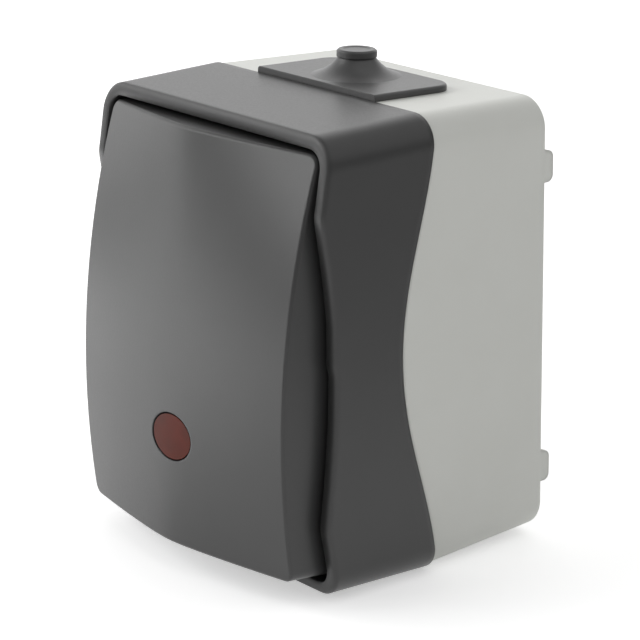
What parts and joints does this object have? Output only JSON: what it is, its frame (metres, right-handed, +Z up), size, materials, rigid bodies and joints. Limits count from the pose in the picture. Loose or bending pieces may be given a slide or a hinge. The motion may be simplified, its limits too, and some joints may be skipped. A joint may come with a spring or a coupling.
{
  "type": "outdoor weatherproof switch",
  "caption": "Surface-mounted outdoor rocker switch with a waisted two-tone case, pillow-shaped rocker, red indicator window and soft cable grommet.",
  "frame": {"origin": "centre of the two wall-fixing holes, on the wall plane that the feet touch", "axes": "+X to the right seen from the front, +Y into the wall, +Z up"},
  "size_m": [0.066, 0.0636, 0.0885],
  "materials": {
    "light_grey_shell": "satin moulded thermoplastic",
    "anthracite_shell": "fine satin moulded thermoplastic",
    "red_lens": "polished tinted polycarbonate",
    "grey_rubber": "soft thermoplastic elastomer",
    "seal_rubber": "soft sealing rubber",
    "insert_plastic": "moulded thermoset insert",
    "black_plastic": "moulded thermoset",
    "contact_brass": "stamped brass strip",
    "contact_silver": "silver-faced rivet",
    "plated_steel": "zinc-plated steel",
    "lamp_glass": "clear lamp glass"
  },
  "bodies": {
    "case": {"base_box": "light_grey_shell", "front_cover": "anthracite_shell", "cable_grommet": "grey_rubber", "cover_gasket": "seal_rubber", "collar_seal": "seal_rubber", "mechanism_body": "insert_plastic", "mechanism_lid": "black_plastic", "fixed_contacts": "contact_silver", "upper_terminal": "contact_brass", "lower_terminal": "contact_brass", "common_terminal": "contact_brass", "terminal_clamps": "plated_steel", "terminal_screws": "plated_steel", "mechanism_screws": "plated_steel", "cover_screws": "plated_steel", "lamp_holder": "black_plastic", "neon_lamp": "lamp_glass", "lamp_electrodes": "plated_steel"},
    "rocker_set": {"rocker": "anthracite_shell", "indicator_lens": "red_lens", "toggle_cradle": "insert_plastic", "plunger_spring": "plated_steel"},
    "plunger_set": {"plunger": "black_plastic"},
    "contact_set": {"contact_arm": "contact_brass", "moving_contacts": "contact_silver"}
  },
  "joints": [
    {"name": "rocker_tilt", "type": "hinge", "parent": "case", "child": "rocker_set", "pos_m": [0, -0.0482, 0], "axis": [1, 0, 0], "range_deg": [0, 10.74]},
    {"name": "contact_tilt", "type": "hinge", "parent": "case", "child": "contact_set", "pos_m": [0, -0.0268, 0], "axis": [1, 0, 0], "range_deg": [-10, 0]},
    {"name": "plunger_slide", "type": "slide", "parent": "rocker_set", "child": "plunger_set", "axis": [0, -0.9956, 0.0936], "range_m": [0, 0.0006], "stiffness_N_per_m": 800, "springref_m": -0.002}
  ],
  "couplings": [
    {"joint": "contact_tilt", "follows": "rocker_tilt", "ratio": -0.93}
  ]
}
